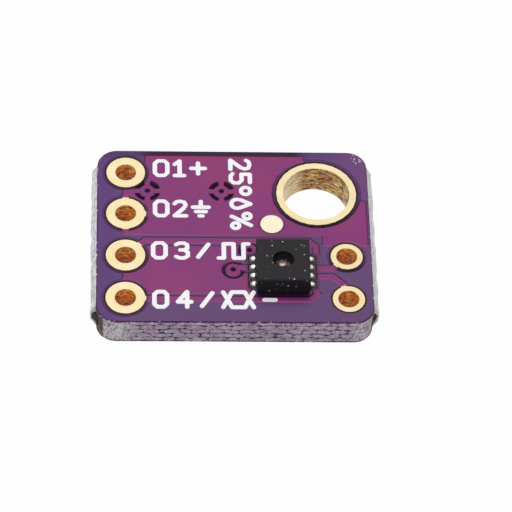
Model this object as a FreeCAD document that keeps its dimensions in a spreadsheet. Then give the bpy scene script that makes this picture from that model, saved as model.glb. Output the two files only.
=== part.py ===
import FreeCAD, Part
import math
import os
import re
import Sketcher

# Humidity sensor board: a small two-layer circuit board with a sensor package on its upper
# side and a few chip parts on its lower side. Millimetres, +Z up. The origin is the middle
# of the footprint, on the plane of the chip parts' lowest faces, which the board rests on.
# X runs from the row of four holes to the pair of holes, and Y from front to back.

doc = FreeCAD.newDocument("humidity_sensor_board")
sheet = doc.addObject("Spreadsheet::Sheet", "sizes")

SIZES = [
    ("pin_pitch", 2.54, "from one hole of a row to the next"),
    ("pin_margin", 1.39, "from the last hole of the row to the front or back edge"),
    ("hole_span", 10.464, "from the row of four holes to the pair of holes"),
    ("header_edge", 1.36, "from the left edge to the row of four holes"),
    ("side_edge", 1.176, "from the right edge to the pair of holes"),
    ("core_thick", 1.5, "glass and resin board without its foils"),
    ("corner_radius", 0.95, "routed corners of the outline"),
    ("web_thick", 0.5, "snapped web between the two scored grooves"),
    ("web_reach", 0.29, "how far the snapped web stands out of the edge"),
    ("snap_rough", 0.08, "depth of the torn fibres along the snapped web"),
    ("copper_thick", 0.035, "foil on either side"),
    ("mask_thick", 0.03, "solder mask"),
    ("mask_side", 0.03, "mask beside the wall of a foil"),
    ("mask_gap", 0.09, "from a plated pad to the mask around it"),
    ("land_gap", 0.05, "from a soldered land to the mask around it"),
    ("mask_setback", 0.03, "from the board's edge to the mask"),
    ("plating", 0.05, "wall of the plating in a hole"),
    ("header_hole", 1.0, "finished hole of the row of four"),
    ("header_pad", 1.86, "pad around it"),
    ("side_hole", 1.0, "finished hole of the pair"),
    ("side_pad", 1.52, "pad around it"),
    ("mount_hole", 3.2, "finished mounting hole"),
    ("mount_ring", 3.85, "ring around it"),
    ("mount_edge_x", 2.488, "from the right edge to the mounting hole"),
    ("mount_edge_y", 2.635, "from the back edge to the mounting hole"),
    ("fiducial_disc", 1.17, "round window in the mask, a mark for placing parts"),
    ("fiducial_x", 2.189, "from the mounting hole to the mark, leftwards"),
    ("fiducial_y", 1.893, "from the mounting hole to the mark, forwards"),
    ("via_hole", 0.25, "finished hole of a small plated passage"),
    ("via_pad", 0.72, "pad around it"),
    ("via_first_x", 1.04, "from the row of four to the first passage"),
    ("via_second_x", 4.59, "from the row of four to the second passage"),
    ("via_row_y", 2.54, "from the back edge to those two"),
    ("reset_via_x", 1.07, "from the sensor's left side to the reset passage"),
    ("reset_via_y", 0.1, "from the sensor's middle to the reset passage, backwards"),
    ("supply_via_x", 0.28, "from the sensor's left side to the supply passage"),
    ("supply_via_room", 0.1, "from the supply passage's pad to the track behind the sensor"),
    ("pad_moat", 0.19, "bare ring between a plated pad and a pour"),
    ("via_moat", 0.2, "bare ring between a passage's pad and a pour"),
    ("mount_moat", 0.23, "bare ring between the mounting ring and a pour"),
    ("copper_gap", 0.23, "between a track and a pour"),
    ("track_width", 0.26, "signal tracks"),
    ("spoke_width", 0.3, "spokes from a pour to a plated pad"),
    ("via_spoke", 0.24, "spokes from a pour to a passage"),
    ("spoke_root", 0.04, "how far a spoke runs into its pour"),
    ("track_bend", 0.32, "slanted stretch at a corner of a track"),
    ("track_jog", 0.22, "from a hole's middle to a track that meets its pad off centre"),
    ("address_bend", 0.48, "slanted stretch of the track that runs to the second side hole"),
    ("track_behind", 0.62, "from the sensor's back side to the track behind it"),
    ("track_before", 0.39, "from the sensor's front side to the track before it"),
    ("track_beside", 0.37, "from the sensor's right side to the tracks beside it"),
    ("pour_left", 1.25, "from the left edge to the pours"),
    ("pour_back", 0.35, "from the back edge to the pour"),
    ("pour_right", 0.15, "from the right edge to the pour"),
    ("pour_corner", 0.95, "from the row of four to the pour's back left corner"),
    ("pour_end", 3.05, "from the right edge to the pour's back right corner"),
    ("pour_shoulder", 3.1, "from the back edge to the pour's right shoulder"),
    ("pour_skirt", 0.67, "from the first side hole to the pour's lowest edge"),
    ("low_pour_inset", 0.3, "from the board's edge to the lower pour"),
    ("sensor_side", 2.5, "side of the square sensor package"),
    ("sensor_height", 0.9, "height of the package"),
    ("sensor_to_side", 3.072, "from the pair of holes to the package's middle"),
    ("sensor_drop", 0.948, "from the first side hole to the package's middle, forwards"),
    ("package_bevel", 0.04, "bevel of the package's edges"),
    ("mouth_width", 1.0, "round opening at the package's top"),
    ("throat_width", 0.72, "the same opening at the die"),
    ("lead_pitch", 0.5, "from one lead to the next"),
    ("lead_width", 0.25, "lead"),
    ("lead_length", 0.35, "lead"),
    ("lead_thick", 0.2, "leads and die pad"),
    ("die_pad_width", 1.0, "metal pad below the die"),
    ("die_pad_length", 1.7, "the same"),
    ("die_pad_notch", 0.2, "cut corner that marks the first lead"),
    ("die_side", 0.9, "square sensor die"),
    ("die_thick", 0.3, "sensor die"),
    ("solder_gap", 0.05, "solder between a foil and a lead or terminal"),
    ("solder_reach", 0.26, "solder in front of a lead"),
    ("solder_rise", 0.16, "solder up the front of a lead"),
    ("solder_belly", 0.18, "from the front of a lead to the bend in its solder"),
    ("solder_belly_rise", 0.12, "height of that bend"),
    ("land_spread", 0.04, "land beyond the solder on it"),
    ("chip_length", 1.6, "chip parts on the lower side"),
    ("chip_width", 0.8, "the same"),
    ("chip_height", 0.45, "the same"),
    ("cap_length", 0.3, "metal end of a chip part"),
    ("cap_skin", 0.03, "its wall"),
    ("fillet_reach", 0.2, "solder in front of a chip part's end"),
    ("fillet_rise", 0.25, "solder up a chip part's end"),
    ("fillet_waist", 0.05, "from a chip part's end to the bend in its solder"),
    ("fillet_waist_rise", 0.09, "height of that bend"),
    ("chip_column", 2.14, "from the row of four to the middle of the chips beside it"),
]

for row, (alias, size, meaning) in enumerate(SIZES, start=1):
    sheet.set(f"A{row}", alias)
    sheet.set(f"B{row}", str(size))
    sheet.set(f"C{row}", meaning)
    sheet.setAlias(f"B{row}", alias)
doc.recompute()
ALIASES = {alias for alias, size, meaning in SIZES}

# Places that several pieces share, as expressions on the sheet
WIDTH = "(header_edge + hole_span + side_edge)"
DEPTH = "(3 * pin_pitch + 2 * pin_margin)"
CORE_LOW = "(chip_height + solder_gap + copper_thick)"
CORE_TOP = f"({CORE_LOW} + core_thick)"
HEADER_X = f"(header_edge - {WIDTH} / 2)"
SIDE_X = f"({WIDTH} / 2 - side_edge)"
ROW = (1.5, 0.5, -0.5, -1.5)  # four in a row, in steps from their middle, back to front
PIN_Y = [f"(pin_pitch * {step})" for step in ROW]
MOUNT_X = f"({WIDTH} / 2 - mount_edge_x)"
MOUNT_Y = f"({DEPTH} / 2 - mount_edge_y)"
SENSOR_X = f"({SIDE_X} - sensor_to_side)"
SENSOR_Y = f"({PIN_Y[2]} - sensor_drop)"
SENSOR_LEFT = f"({SENSOR_X} - sensor_side / 2)"
SENSOR_RIGHT = f"({SENSOR_X} + sensor_side / 2)"
SENSOR_LOW = f"({CORE_TOP} + copper_thick + solder_gap)"
LEAD_Y = [f"({SENSOR_Y} + lead_pitch * {step})" for step in ROW]
BEHIND_Y = f"({SENSOR_Y} + sensor_side / 2 + track_behind)"
BEFORE_Y = f"({SENSOR_Y} - sensor_side / 2 - track_before)"
BESIDE_X = f"({SENSOR_RIGHT} + track_beside)"
CHIP_X = f"({HEADER_X} + chip_column)"
CHIP_END = "(chip_length / 2 - cap_length / 2)"

VIAS = {
    "ground_via_1": (f"({HEADER_X} + via_first_x)", f"({DEPTH} / 2 - via_row_y)"),
    "ground_via_2": (f"({HEADER_X} + via_second_x)", f"({DEPTH} / 2 - via_row_y)"),
    "reset_via": (f"({SENSOR_LEFT} - reset_via_x)", f"({SENSOR_Y} + reset_via_y)"),
    "supply_via": (f"({SENSOR_LEFT} - supply_via_x)",
                   f"({BEHIND_Y} - track_width / 2 - supply_via_room - via_pad / 2)"),
}
CHIPS = {
    "capacitor": (CHIP_X, PIN_Y[0]),
    "clock_resistor": (CHIP_X, PIN_Y[2]),
    "data_resistor": (CHIP_X, PIN_Y[3]),
    "reset_resistor": (SENSOR_X, VIAS["reset_via"][1]),
}

# The two sides of the board, with the corners that their many-sided pads and bare rings have
TOP_SIDE = {"face": CORE_TOP, "way": 1, "pad": 28, "moat": 22}
LOW_SIDE = {"face": CORE_LOW, "way": -1, "pad": 18, "moat": 14}
VIA_CORNERS = 12
DRILL_CORNERS = 22

TEAR_STEPS = 22
TEAR_WAVES = (2.4, 1.1)
TINY = 1e-6


def bind(text):
    """The expression with each name of the table pointing at its cell."""
    for_cell = lambda word: "sizes." + word[0] if word[0] in ALIASES else word[0]
    return re.sub(r"[a-z]\w+", for_cell, text)


def number(text):
    """The number that an expression gives now."""
    return float(sheet.evalExpression(bind(text)))


def drive(thing, **places):
    """Bind properties to expressions; x, y and z stand for the placement's base."""
    for name, text in places.items():
        path = "Placement.Base." + name if name in "xyz" else name
        thing.setExpression(path, bind(text))


# Sketches
def pin_point(sketch, geometry, point, across, along):
    """Hold a point of a sketch at a place given by two expressions."""
    for kind, text in (("DistanceX", across), ("DistanceY", along)):
        rule = Sketcher.Constraint(kind, -1, 1, geometry, point, number(text))
        index = sketch.addConstraint(rule)
        sketch.setExpression(f"Constraints[{index}]", bind(text))


def draw_chain(sketch, points, closed=True):
    """Straight lines through points, each held by its expressions."""
    spots = [FreeCAD.Vector(number(across), number(along), 0) for across, along in points]
    if closed:
        spots.append(spots[0])
    first = sketch.GeometryCount
    spans = len(spots) - 1
    for start, end in zip(spots, spots[1:]):
        sketch.addGeometry(Part.LineSegment(start, end), False)
    for step in range(spans if closed else spans - 1):
        following = first + (step + 1) % spans
        sketch.addConstraint(Sketcher.Constraint("Coincident", first + step, 2, following, 1))
    for step in range(spans):
        pin_point(sketch, first + step, 1, *points[step])
    if not closed:
        pin_point(sketch, first + spans - 1, 2, *points[-1])


def draw_rectangle(sketch, across, along, length, width):
    """A rectangle about a middle point."""
    left = f"{across} - ({length}) / 2"
    right = f"{across} + ({length}) / 2"
    front = f"{along} - ({width}) / 2"
    back = f"{along} + ({width}) / 2"
    draw_chain(sketch, [(left, front), (right, front), (right, back), (left, back)])


def level_sketch(name, height):
    """A free sketch in the plane at a height."""
    sketch = doc.addObject("Sketcher::SketchObject", name)
    drive(sketch, z=height)
    return sketch


def upright_sketch(name, along):
    """A free sketch in the upright plane across X at a distance along Y."""
    sketch = doc.addObject("Sketcher::SketchObject", name)
    sketch.Placement.Rotation = FreeCAD.Rotation(FreeCAD.Vector(1, 0, 0), 90)
    drive(sketch, y=along)
    return sketch


# PartDesign features
def new_body(name, **places):
    body = doc.addObject("PartDesign::Body", name)
    body.Label = name
    drive(body, **places)
    return body


def body_sketch(body, name, role="XY_Plane"):
    plane = [item for item in body.Origin.OriginFeatures if item.Role == role][0]
    sketch = body.newObject("Sketcher::SketchObject", name)
    sketch.AttachmentSupport = (plane, [""])
    sketch.MapMode = "FlatFace"
    return sketch


def add_pad(body, sketch, name, length, both_ways=False):
    pad = body.newObject("PartDesign::Pad", name)
    pad.Profile = sketch
    pad.SideType = "Symmetric" if both_ways else "One side"
    drive(pad, Length=length)
    doc.recompute()
    return pad


def cut_up(body, sketch, name, depth):
    """Pocket from the body's base plane upwards."""
    pocket = body.newObject("PartDesign::Pocket", name)
    pocket.Profile = sketch
    pocket.Reversed = True
    drive(pocket, Length=depth)
    doc.recompute()
    return pocket


def groove(body, sketch, name):
    """Groove all round the sketch's upright axis."""
    cut = body.newObject("PartDesign::Groove", name)
    cut.Profile = sketch
    cut.ReferenceAxis = (sketch, ["V_Axis"])
    cut.Angle = 360
    doc.recompute()


def bevel(body, base, name, edges, size):
    chamfer = body.newObject("PartDesign::Chamfer", name)
    chamfer.Base = (base, edges)
    drive(chamfer, Size=size)
    doc.recompute()
    return chamfer


def edges_where(feature, test):
    """Names of the feature's edges whose box passes the test."""
    names = []
    for index, edge in enumerate(feature.Shape.Edges, start=1):
        if test(edge.BoundBox):
            names.append(f"Edge{index}")
    return names


# Part features
def raise_profile(name, profile, way, tall):
    """Solid between a level profile and the same profile higher up or lower down."""
    solid = doc.addObject("Part::Extrusion", name)
    solid.Base = profile
    solid.DirMode = "Custom"
    solid.Dir = (0, 0, way)
    solid.Solid = True
    drive(solid, LengthFwd=tall)
    return solid


def widen(name, profile, reach, corners="Intersection"):
    """Outline at a distance around a closed or an open profile."""
    outline = doc.addObject("Part::Offset2D", name)
    outline.Source = profile
    outline.Mode = "Pipe"
    outline.Join = corners
    drive(outline, Value=reach)
    return outline


def low_end(side, tall):
    """Lowest height of what stands on a face of the board, on either side."""
    return side["face"] if side["way"] > 0 else f"({side['face']} - ({tall}))"


def plug(name, side, across, along, radius, tall, corners):
    """Many-sided plug on a face of the board."""
    prism = doc.addObject("Part::Prism", name)
    prism.Polygon = corners
    drive(prism, Circumradius=radius, Height=tall, x=across, y=along, z=low_end(side, tall))
    return prism


def tile(name, side, across, along, length, width, tall):
    """Rectangular plate on a face of the board, about a middle point."""
    box = doc.addObject("Part::Box", name)
    left = f"{across} - ({length}) / 2"
    front = f"{along} - ({width}) / 2"
    drive(box, Length=length, Width=width, Height=tall, x=left, y=front, z=low_end(side, tall))
    return box


def join(name, pieces):
    if len(pieces) == 1:
        return pieces[0]
    fused = doc.addObject("Part::MultiFuse", name)
    fused.Shapes = pieces
    return fused


def take_away(name, base, pieces):
    if not pieces:
        return base
    rest = doc.addObject("Part::Cut", name)
    rest.Base = base
    rest.Tool = join(name + "_tools", pieces)
    return rest


# Board
def make_core():
    """Board with routed corners, snapped webs on its left and right edges, and its holes."""
    body = new_body("undrilled_core", z=CORE_LOW)
    outline = body_sketch(body, "board_outline")
    draw_rectangle(outline, "0", "0", WIDTH, DEPTH)
    plate = add_pad(body, outline, "board_plate", "core_thick")
    corners = edges_where(plate, lambda box: box.XLength + box.YLength < TINY)
    rounding = body.newObject("PartDesign::Fillet", "routed_corners")
    rounding.Base = (plate, corners)
    drive(rounding, Radius="corner_radius")
    doc.recompute()
    for side, sign in (("left", "-"), ("right", "")):
        web = body_sketch(body, side + "_web_section", "XZ_Plane")
        root = f"{sign}{WIDTH} / 2"
        inner = f"{sign}({WIDTH} / 2 - corner_radius / 2)"
        outer = f"{sign}({WIDTH} / 2 + web_reach)"
        below = "(core_thick - web_thick) / 2"
        above = "(core_thick + web_thick) / 2"
        draw_chain(web, [(inner, "0"), (root, "0"), (outer, below), (outer, above),
                         (root, "core_thick"), (inner, "core_thick")])
        add_pad(body, web, side + "_web", f"{DEPTH} - 2 * corner_radius", both_ways=True)
        tear = body_sketch(body, side + "_tear_line")
        draw_chain(tear, tear_points(sign))
        cut_up(body, tear, side + "_tear", "core_thick")
    core = take_away("fr4_core", body, [drill_plug(hole) for hole in plated_holes()])
    core.Label = "fr4_core"


def tear_points(sign):
    """Ragged line that the snapped fibres leave, closed outside the web."""
    fast, slow = TEAR_WAVES
    points = []
    for step in range(TEAR_STEPS + 1):
        tooth = abs(math.sin(step * fast + len(sign)) * math.cos(step * slow))
        across = f"{sign}({WIDTH} / 2 + web_reach - snap_rough * {tooth:.2f})"
        share = step / TEAR_STEPS - 0.5
        points.append((across, f"({DEPTH} - corner_radius) * {share:.4f}"))
    far = f"{sign}({WIDTH} / 2 + 2 * web_reach)"
    points.append((far, points[-1][1]))
    points.append((far, points[0][1]))
    return points


def plated_holes():
    """Place, finished hole and pad of each plated hole, by node name."""
    holes = {}
    for pin in range(4):
        holes[f"header_hole_{pin + 1}"] = (HEADER_X, PIN_Y[pin], "header_hole", "header_pad")
    for pin in range(2):
        holes[f"side_hole_{pin + 1}"] = (SIDE_X, PIN_Y[pin + 2], "side_hole", "side_pad")
    holes["mounting_eyelet"] = (MOUNT_X, MOUNT_Y, "mount_hole", "mount_ring")
    for name, (across, along) in VIAS.items():
        holes[name] = (across, along, "via_hole", "via_pad")
    return holes


def pad_corners(hole, side):
    """Corner count of the ring of a plated hole on a side of the board."""
    return VIA_CORNERS if hole in VIAS else side["pad"]


def through(name, across, along, radius, low, tall, corners=None):
    """Upright plug from a height upwards: a true cylinder, or many-sided."""
    thing = doc.addObject("Part::Prism" if corners else "Part::Cylinder", name)
    if corners:
        thing.Polygon = corners
        drive(thing, Circumradius=radius)
    else:
        drive(thing, Radius=radius)
    drive(thing, Height=tall, x=across, y=along, z=low)
    return thing


def drill_plug(hole):
    """Many-sided plug that leaves room in the board for the wall of a plated hole."""
    across, along, bore, pad = plated_holes()[hole]
    radius = f"(({bore}) / 2 + plating)"
    if hole in VIAS:
        return through(hole + "_drill", across, along, radius, CORE_LOW, "core_thick", VIA_CORNERS)
    room = f"{radius} / cos(180 deg / {DRILL_CORNERS})"
    return through(hole + "_drill", across, along, room, CORE_LOW, "core_thick", DRILL_CORNERS)


def make_plated_hole(hole):
    """Plated wall with a ring on either side of the board."""
    across, along, bore, pad = plated_holes()[hole]
    corners = VIA_CORNERS if hole in VIAS else None
    pieces = [through(hole + "_wall", across, along, f"({bore}) / 2 + plating", CORE_LOW,
                      "core_thick", corners)]
    for face, side in (("top", TOP_SIDE), ("low", LOW_SIDE)):
        pieces.append(plug(f"{hole}_{face}_ring", side, across, along, f"{pad} / 2",
                           "copper_thick", pad_corners(hole, side)))
    drill = through(hole + "_bore", across, along, f"({bore}) / 2", f"{CORE_LOW} - copper_thick",
                    "core_thick + 2 * copper_thick", corners)
    eyelet = take_away(hole, join(hole + "_metal", pieces), [drill])
    eyelet.Label = hole


# Foils
ROUTES = {}


def add_route(name, side, points, half="track_width / 2"):
    """Middle line of a track or spoke, with half its width. Two points lie along X or Y."""
    line = points
    if len(points) > 2:
        line = level_sketch(name, side["face"])
        draw_chain(line, points, closed=False)
    ROUTES[name] = (line, half)


def band(name, side, route, grow, tall):
    """Band of copper height along a route, wider than its track by grow on each side."""
    line, half = ROUTES[route]
    reach = f"({half} + {grow})"
    if isinstance(line, list):
        (x_one, y_one), (x_two, y_two) = line
        return tile(name, side, f"({x_one} + {x_two}) / 2", f"({y_one} + {y_two}) / 2",
                    f"abs(({x_two}) - ({x_one})) + 2 * {reach}",
                    f"abs(({y_two}) - ({y_one})) + 2 * {reach}", tall)
    return raise_profile(name, widen(name + "_edge", line, reach), side["way"], tall)


def island(name, side, grow, tall, pours=(), moats=(), yards=(), slots=(), routes=(), lands=(),
           pads=()):
    """Copper of one net, grown by a distance: pours less what is kept bare, then tracks."""
    way = side["way"]
    fields = []
    for index, sketch in enumerate(pours):
        profile = sketch if grow == "0" else widen(f"{name}_edge_{index}", sketch, grow)
        fields.append(raise_profile(f"{name}_field_{index}", profile, way, tall))
    bare = []
    for index, (across, along, radius) in enumerate(moats):
        bare.append(plug(f"{name}_moat_{index}", side, across, along, f"{radius} - {grow}", tall,
                         side["moat"]))
    for index, (across, along, length, width) in enumerate(yards):
        long = f"{length} + 2 * (copper_gap - {grow})"
        wide = f"{width} + 2 * (copper_gap - {grow})"
        bare.append(tile(f"{name}_yard_{index}", side, across, along, long, wide, tall))
    for route in slots:
        bare.append(band(f"{name}_slot_{route}", side, route, f"copper_gap - {grow}", tall))
    pieces = []
    if fields:
        pieces.append(take_away(name + "_pour", join(name + "_fields", fields), bare))
    for route in routes:
        pieces.append(band(f"{name}_track_{route}", side, route, grow, tall))
    for index, (across, along, length, width) in enumerate(lands):
        long = f"{length} + 2 * {grow}"
        wide = f"{width} + 2 * {grow}"
        pieces.append(tile(f"{name}_land_{index}", side, across, along, long, wide, tall))
    rings = []
    if grow == "0":
        for index, hole in enumerate(pads):
            across, along, bore, pad = plated_holes()[hole]
            rings.append(plug(f"{name}_pad_{index}", side, across, along, f"{pad} / 2", tall,
                              pad_corners(hole, side)))
    return take_away(name, join(name + "_copper", pieces), rings)


def etch(name, side, layers, **parts):
    """Foil of one net as its own piece, with the lift that it gives the mask."""
    foil = island(name, side, "0", "copper_thick", **parts)
    foil.Label = name
    lift = island(name + "_lift", side, "mask_side", "copper_thick + mask_thick", **parts)
    layers["foils"].append(foil)
    layers["lifts"].append(lift)


def sensor_land(sign, lead):
    """Land of one lead: sign is - on the left side and + on the right side."""
    inner = "(sensor_side / 2 - lead_length)"
    outer = "(sensor_side / 2 + solder_reach + land_spread)"
    across = f"({SENSOR_X} {sign} ({inner} + {outer}) / 2)"
    return (across, LEAD_Y[lead], f"({outer} - {inner})", "(lead_width + land_spread)")


def chip_land(chip, sign):
    """Land of one end of a chip part."""
    across, along = CHIPS[chip]
    inner = "(chip_length / 2 - cap_length - land_spread)"
    outer = "(chip_length / 2 + fillet_reach + land_spread)"
    middle = f"({across} {sign} ({inner} + {outer}) / 2)"
    return (middle, along, f"({outer} - {inner})", "(chip_width + 2 * land_spread)")


def moat_at(name, moat="pad_moat"):
    across, along, hole, pad = plated_holes()[name]
    return (across, along, f"({pad} / 2 + {moat})")


def add_spokes(name, side, hole, moat, half, east_only=False):
    """Two crossing spokes over the bare ring of a hole, the second perhaps only to the right."""
    across, along, drill, pad = plated_holes()[hole]
    far = f"({pad} / 2 + {moat} + spoke_root - {half})"
    add_route(name + "_upright", side,
              [(across, f"{along} - {far}"), (across, f"{along} + {far}")], half)
    start = across if east_only else f"{across} - {far}"
    add_route(name + "_level", side, [(start, along), (f"{across} + {far}", along)], half)
    return [name + "_upright", name + "_level"]


def make_top_foils():
    """Pours and tracks on the upper side."""
    layers = {"foils": [], "lifts": []}
    side = TOP_SIDE
    left = f"pour_left - {WIDTH} / 2"
    right = f"{WIDTH} / 2 - pour_right"
    back = f"{DEPTH} / 2 - pour_back"
    shoulder = f"{DEPTH} / 2 - pour_shoulder"
    break_x = f"{HEADER_X} + pour_corner"
    end_x = f"{WIDTH} / 2 - pour_end"
    track_room = "(track_width / 2 + copper_gap)"
    pour_low = f"{BEHIND_Y} + {track_room}"
    skirt_x = f"{BESIDE_X} + {track_room}"
    skirt_y = f"{PIN_Y[2]} + pour_skirt"
    land_left = f"{SENSOR_LEFT} - solder_reach / 2"
    land_right = f"{SENSOR_RIGHT} + solder_reach / 2"

    ground = level_sketch("ground_pour_outline", side["face"])
    draw_chain(ground, [
        (left, pour_low), (skirt_x, pour_low), (skirt_x, skirt_y), (right, skirt_y),
        (right, shoulder), (end_x, shoulder), (end_x, back), (break_x, back),
        (break_x, PIN_Y[0]), (left, PIN_Y[0]),
    ])
    spokes = add_spokes("header_spoke", side, "header_hole_2", "pad_moat",
                        "spoke_width / 2", east_only=True)
    for via in ("ground_via_1", "ground_via_2"):
        spokes += add_spokes(via + "_spoke", side, via, "via_moat", "via_spoke / 2")
    etch("top_ground_pour", side, layers,
         pours=[ground],
         moats=[moat_at("header_hole_1"), moat_at("header_hole_2"), moat_at("side_hole_1"),
                moat_at("mounting_eyelet", "mount_moat"),
                moat_at("ground_via_1", "via_moat"), moat_at("ground_via_2", "via_moat")],
         routes=spokes,
         pads=["header_hole_2", "ground_via_1", "ground_via_2"])

    add_route("clock_line", side, [
        (HEADER_X, PIN_Y[2]),
        (f"{HEADER_X} + {BEHIND_Y} - {PIN_Y[2]}", BEHIND_Y),
        (f"{BESIDE_X} - track_bend", BEHIND_Y),
        (BESIDE_X, f"{BEHIND_Y} - track_bend"),
        (BESIDE_X, f"{LEAD_Y[0]} + track_bend"),
        (land_right, LEAD_Y[0]),
    ])
    etch("clock_track", side, layers, routes=["clock_line"], lands=[sensor_land("+", 0)],
         pads=["header_hole_3"])

    add_route("data_line", side, [
        (HEADER_X, PIN_Y[3]),
        (f"{HEADER_X} + header_pad", BEFORE_Y),
        (f"{BESIDE_X} - track_bend", BEFORE_Y),
        (BESIDE_X, f"{BEFORE_Y} + track_bend"),
        (land_right, LEAD_Y[3]),
    ])
    etch("data_track", side, layers, routes=["data_line"], lands=[sensor_land("+", 3)],
         pads=["header_hole_4"])

    add_route("alert_line", side, [
        (land_right, LEAD_Y[1]),
        (f"{SIDE_X} - {PIN_Y[2]} + {LEAD_Y[1]}", LEAD_Y[1]),
        (SIDE_X, PIN_Y[2]),
    ])
    etch("alert_track", side, layers, routes=["alert_line"], lands=[sensor_land("+", 1)],
         pads=["side_hole_1"])

    add_route("address_line", side, [
        (land_right, LEAD_Y[2]),
        (f"{SIDE_X} - track_jog - address_bend", LEAD_Y[2]),
        (f"{SIDE_X} - track_jog", f"{LEAD_Y[2]} - address_bend"),
        (f"{SIDE_X} - track_jog", PIN_Y[3]),
    ])
    etch("address_track", side, layers, routes=["address_line"], lands=[sensor_land("+", 2)],
         pads=["side_hole_2"])

    supply_x, supply_y = VIAS["supply_via"]
    add_route("supply_line", side, [
        (land_left, LEAD_Y[0]),
        (supply_x, f"{LEAD_Y[0]} + {land_left} - {supply_x}"),
        (supply_x, supply_y),
    ])
    etch("supply_track", side, layers, routes=["supply_line"], lands=[sensor_land("-", 0)],
         pads=["supply_via"])
    reset_x, reset_y = VIAS["reset_via"]
    add_route("reset_line", side, [
        (land_left, LEAD_Y[1]),
        (f"{reset_x} + {LEAD_Y[1]} - {reset_y}", LEAD_Y[1]),
        (reset_x, reset_y),
    ])
    etch("reset_track", side, layers, routes=["reset_line"], lands=[sensor_land("-", 1)],
         pads=["reset_via"])

    sensor_pour = level_sketch("sensor_pour_outline", side["face"])
    pour_top = f"{BEHIND_Y} - {track_room}"
    pour_low = f"{BEFORE_Y} + {track_room}"
    pour_end = f"{SENSOR_LEFT} - solder_reach - land_spread / 2"
    draw_chain(sensor_pour, [(left, pour_low), (pour_end, pour_low), (pour_end, pour_top),
                             (left, pour_top)])
    add_route("die_pad_line", side, [(land_left, LEAD_Y[3]), (SENSOR_X, LEAD_Y[3])],
              "lead_width / 2")
    etch("sensor_ground_pour", side, layers,
         pours=[sensor_pour],
         moats=[moat_at("header_hole_3"), moat_at("header_hole_4"),
                moat_at("reset_via", "via_moat"), moat_at("supply_via", "via_moat")],
         slots=["supply_line", "reset_line"],
         routes=["die_pad_line"],
         lands=[sensor_land("-", 2), sensor_land("-", 3),
                (SENSOR_X, SENSOR_Y, "die_pad_width", "die_pad_length")])
    return layers


def make_low_foils():
    """Pours and tracks on the lower side."""
    layers = {"foils": [], "lifts": []}
    side = LOW_SIDE
    left_end = f"{CHIP_X} - {CHIP_END}"
    right_end = f"{CHIP_X} + {CHIP_END}"
    supply_x, supply_y = VIAS["supply_via"]
    reset_x, reset_y = VIAS["reset_via"]
    far_end = f"{SENSOR_X} + {CHIP_END}"
    rail_x = f"{CHIP_X} - chip_length / 2 + cap_length"

    add_route("low_clock_line", side, [(HEADER_X, PIN_Y[2]), (left_end, PIN_Y[2])])
    add_route("low_data_line", side, [(HEADER_X, PIN_Y[3]), (left_end, PIN_Y[3])])
    add_route("low_reset_line", side, [(reset_x, reset_y), (f"{SENSOR_X} - {CHIP_END}", reset_y)])
    add_route("low_supply_line", side, [(HEADER_X, PIN_Y[0]), (left_end, PIN_Y[0])])
    add_route("low_supply_rail", side, [
        (rail_x, PIN_Y[0]),
        (rail_x, f"{PIN_Y[1]} + chip_length / 2"),
        (CHIP_X, PIN_Y[1]),
        (CHIP_X, PIN_Y[3]),
    ])
    add_route("low_clock_feed", side, [(CHIP_X, PIN_Y[2]), (right_end, PIN_Y[2])])
    add_route("low_data_feed", side, [(CHIP_X, PIN_Y[3]), (right_end, PIN_Y[3])])
    add_route("low_sensor_feed", side, [(CHIP_X, supply_y), (supply_x, supply_y)])
    add_route("low_reset_feed", side, [
        (supply_x, supply_y),
        (f"{far_end} - track_bend", supply_y),
        (far_end, f"{supply_y} - track_bend"),
        (far_end, reset_y),
    ])
    supply = ["low_supply_line", "low_supply_rail", "low_clock_feed", "low_data_feed",
              "low_sensor_feed", "low_reset_feed"]
    etch("low_clock_track", side, layers, routes=["low_clock_line"],
         lands=[chip_land("clock_resistor", "-")], pads=["header_hole_3"])
    etch("low_data_track", side, layers, routes=["low_data_line"],
         lands=[chip_land("data_resistor", "-")], pads=["header_hole_4"])
    etch("low_reset_track", side, layers, routes=["low_reset_line"],
         lands=[chip_land("reset_resistor", "-")], pads=["reset_via"])
    etch("low_supply_track", side, layers, routes=supply,
         lands=[chip_land("capacitor", "-"), chip_land("clock_resistor", "+"),
                chip_land("data_resistor", "+"), chip_land("reset_resistor", "+")],
         pads=["header_hole_1", "supply_via"])

    left = f"(pour_left - {WIDTH} / 2)"
    right = f"({WIDTH} / 2 - low_pour_inset)"
    back = f"({DEPTH} / 2 - low_pour_inset)"
    front = f"(low_pour_inset - {DEPTH} / 2)"
    break_x = f"{HEADER_X} + pour_corner"
    cut = "corner_radius / 2"
    pour = level_sketch("low_pour_outline", side["face"])
    draw_chain(pour, [
        (CHIP_X, front), (f"{right} - {cut}", front), (right, f"{front} + {cut}"),
        (right, f"{back} - {cut}"), (f"{right} - {cut}", back), (break_x, back),
        (break_x, PIN_Y[0]), (left, PIN_Y[0]), (left, PIN_Y[2]), (CHIP_X, PIN_Y[2]),
    ])
    moats = [moat_at(f"header_hole_{pin}") for pin in (1, 2, 3, 4)]
    moats += [moat_at(f"side_hole_{pin}") for pin in (1, 2)]
    moats += [moat_at("mounting_eyelet", "mount_moat")]
    moats += [moat_at("reset_via", "via_moat"), moat_at("supply_via", "via_moat")]
    yards = [chip_land(chip, sign) for chip in CHIPS for sign in "-+"
             if (chip, sign) != ("capacitor", "+")]
    spokes = add_spokes("low_header_spoke", side, "header_hole_2", "pad_moat",
                        "spoke_width / 2", east_only=True)
    etch("low_ground_pour", side, layers,
         pours=[pour],
         moats=moats,
         yards=yards,
         slots=["low_clock_line", "low_data_line", "low_reset_line"] + supply,
         routes=spokes,
         lands=[chip_land("capacitor", "+")],
         pads=["header_hole_2", "ground_via_1", "ground_via_2"])
    return layers


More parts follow.
